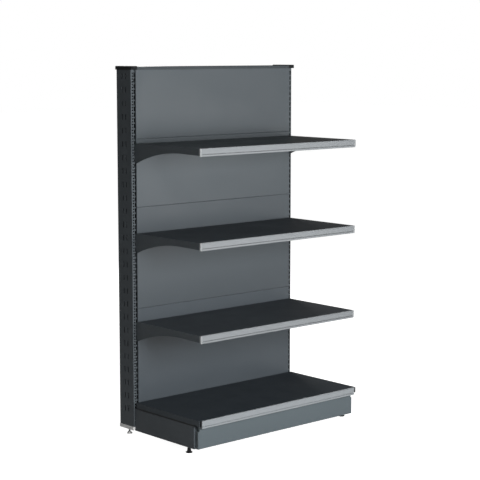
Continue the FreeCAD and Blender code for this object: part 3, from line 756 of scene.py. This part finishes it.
def makeRailEnds(name, piece, body):
    low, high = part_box(name)
    width = endShape["width"]
    height = high[2] - low[2]
    top, bottom = endShape["topRound"], endShape["lowRound"]
    outline = [(width, height)]
    outline += arc((top, height - top), top, 90)
    outline += arc((bottom, bottom), bottom, 180)
    outline.append((width, 0.0))
    bm = bmesh.new()
    for outer, way in ((low[0], 1), (high[0], -1)):
        rings = []
        rows = ((low[1], endShape["bevel"]), (low[1] + endShape["bevel"], 0.0), (high[1], 0.0))
        for y, inset in rows:
            wide, tall = 1 - 2 * inset / width, 1 - 2 * inset / height
            points = []
            for u, w in outline:
                across = width / 2 + (u - width / 2) * wide
                points.append((outer + way * across, y, low[2] + height / 2 + (w - height / 2) * tall))
            rings.append(addRing(bm, points))
        bridgeRings(bm, rings)
        bm.faces.new(rings[0])
        bm.faces.new(rings[-1])
    finishPiece(bm, piece, railCapSkin, body, name)


footSkins = {"front": frontFootSkin, "rear": rearFootSkin}
for end in ("front", "rear"):
    for side in ("left", "right"):
        makePad(end, side, footSkins[end])
        makeStud(end, side)
makeNuts("rear_lock_nuts", "rear_hexagon_nuts", "rear")
makeNuts("leg_weld_nuts", "leg_hexagon_nuts", "front")
makeTieBolts()
for level in levels:
    makeRail(f"shelf_{level}_price_rail", f"shelf_{level}_drawn_rail", railSkin, f"shelf_{level}")
    makeRailEnds(f"shelf_{level}_rail_end_caps", f"shelf_{level}_moulded_rail_ends", f"shelf_{level}")
makeRail("base_price_rail", "base_drawn_rail", baseRailSkin, "base_deck")
print("feet, fasteners and rails re-made")


# studio: white floor and surround, a soft key at the front left, and a dim wide box for the panels
studio = {
    "floorSize": 60.0, "floorDrop": 0.0006, "floorTone": (0.62, 0.62, 0.62, 1), "floorGlow": 0.96,
    "surroundGlow": 0.27, "ceilingGlow": 0.06, "ceilingRise": 0.8, "backdrop": (1.0, 1.0, 1.0, 1),
}
lights = {
    "keyLight": {
        "at": (-0.75, -3.2, 1.45), "aim": (-0.1, 0.0, 1.15), "size": (1.2, 1.1), "power": 145.0,
        "mirrored": False,
    },
    "fillLight": {
        "at": (0.9, -3.2, 0.9), "aim": (0.1, 0.0, 0.9), "size": (1.0, 1.0), "power": 30.0,
        "mirrored": False,
    },
    "sideLight": {
        "at": (3.4, -4.9, 0.95), "aim": (0.0, 0.17, 0.95), "size": (2.6, 1.7), "power": 36.0,
        "mirrored": True,
    },
    "backLight": {
        "at": (1.5, 4.5, 2.2), "aim": (0.0, 0.0, 0.8), "size": (2.5, 2.0), "power": 90.0,
        "mirrored": True,
    },
}


def makeFloor():
    half = studio["floorSize"] / 2
    mesh = bpy.data.meshes.new("floor")
    corners = [(-half, -half), (half, -half), (half, half), (-half, half)]
    mesh.from_pydata([(x, y, -studio["floorDrop"]) for x, y in corners], [], [(0, 1, 2, 3)])
    floor = bpy.data.objects.new("floor", mesh)
    scene.collection.objects.link(floor)
    material = bpy.data.materials.new("floorPaper")
    material.use_nodes = True
    tree = material.node_tree
    tree.nodes.clear()
    paper = addNode(tree, "BsdfDiffuse", values={"Color": studio["floorTone"]})
    glow = addNode(tree, "Emission", values={"Color": studio["backdrop"]})
    seen = addNode(tree, "LightPath").outputs["Is Camera Ray"]
    tree.links.new(mathNode(tree, "MULTIPLY", seen, studio["floorGlow"]), glow.inputs["Strength"])
    both = addNode(tree, "AddShader")
    tree.links.new(paper.outputs[0], both.inputs[0])
    tree.links.new(glow.outputs[0], both.inputs[1])
    tree.links.new(both.outputs[0], addNode(tree, "OutputMaterial").inputs["Surface"])
    mesh.materials.append(material)


def makeSurround():
    world = bpy.data.worlds.new("surround")
    scene.world = world
    world.use_nodes = True
    tree = world.node_tree
    tree.nodes.clear()
    way = addNode(tree, "SeparateXYZ")
    tree.links.new(addNode(tree, "TexCoord").outputs["Generated"], way.inputs[0])
    soft = addNode(tree, "Background")
    glow = rangeNode(
        tree, way.outputs["Z"], reads=(0.0, studio["ceilingRise"]),
        gives=(studio["surroundGlow"], studio["ceilingGlow"]))
    tree.links.new(glow, soft.inputs["Strength"])
    white = addNode(tree, "Background", values={"Color": studio["backdrop"], "Strength": 1.0})
    shown = addNode(tree, "MixShader")
    tree.links.new(addNode(tree, "LightPath").outputs["Is Camera Ray"], shown.inputs[0])
    tree.links.new(soft.outputs[0], shown.inputs[1])
    tree.links.new(white.outputs[0], shown.inputs[2])
    tree.links.new(shown.outputs[0], addNode(tree, "OutputWorld").inputs["Surface"])


def makeLight(name, values):
    lamp = bpy.data.lights.new(name, "AREA")
    lamp.shape = "RECTANGLE"
    lamp.size, lamp.size_y = values["size"]
    lamp.energy = values["power"]
    light = bpy.data.objects.new(name, lamp)
    scene.collection.objects.link(light)
    light.location = values["at"]
    aim = [to - start for to, start in zip(values["aim"], values["at"])]
    flat = math.hypot(aim[0], aim[1])
    light.rotation_euler = (math.pi / 2 + math.atan2(aim[2], flat), 0, math.atan2(-aim[0], aim[1]))
    light.visible_camera = False
    light.visible_glossy = values["mirrored"]


makeFloor()
makeSurround()
for name, values in lights.items():
    makeLight(name, values)
scene.view_settings.view_transform = "Standard"
print("studio ready")

camera = {
    "at": (-4.330, -4.854, 1.727), "pitch": 7.497, "yaw": 41.713, "lens": 107.27, "sensor": 36.0,
    "reach": 200.0,
}


def makeCamera():
    data = bpy.data.cameras.new("photoCamera")
    data.lens = camera["lens"]
    data.sensor_width = camera["sensor"]
    data.clip_end = camera["reach"]
    viewer = bpy.data.objects.new("photoCamera", data)
    scene.collection.objects.link(viewer)
    viewer.location = camera["at"]
    viewer.rotation_euler = (math.radians(90 - camera["pitch"]), 0, math.radians(-camera["yaw"]))
    scene.camera = viewer


makeCamera()
print("camera ready")
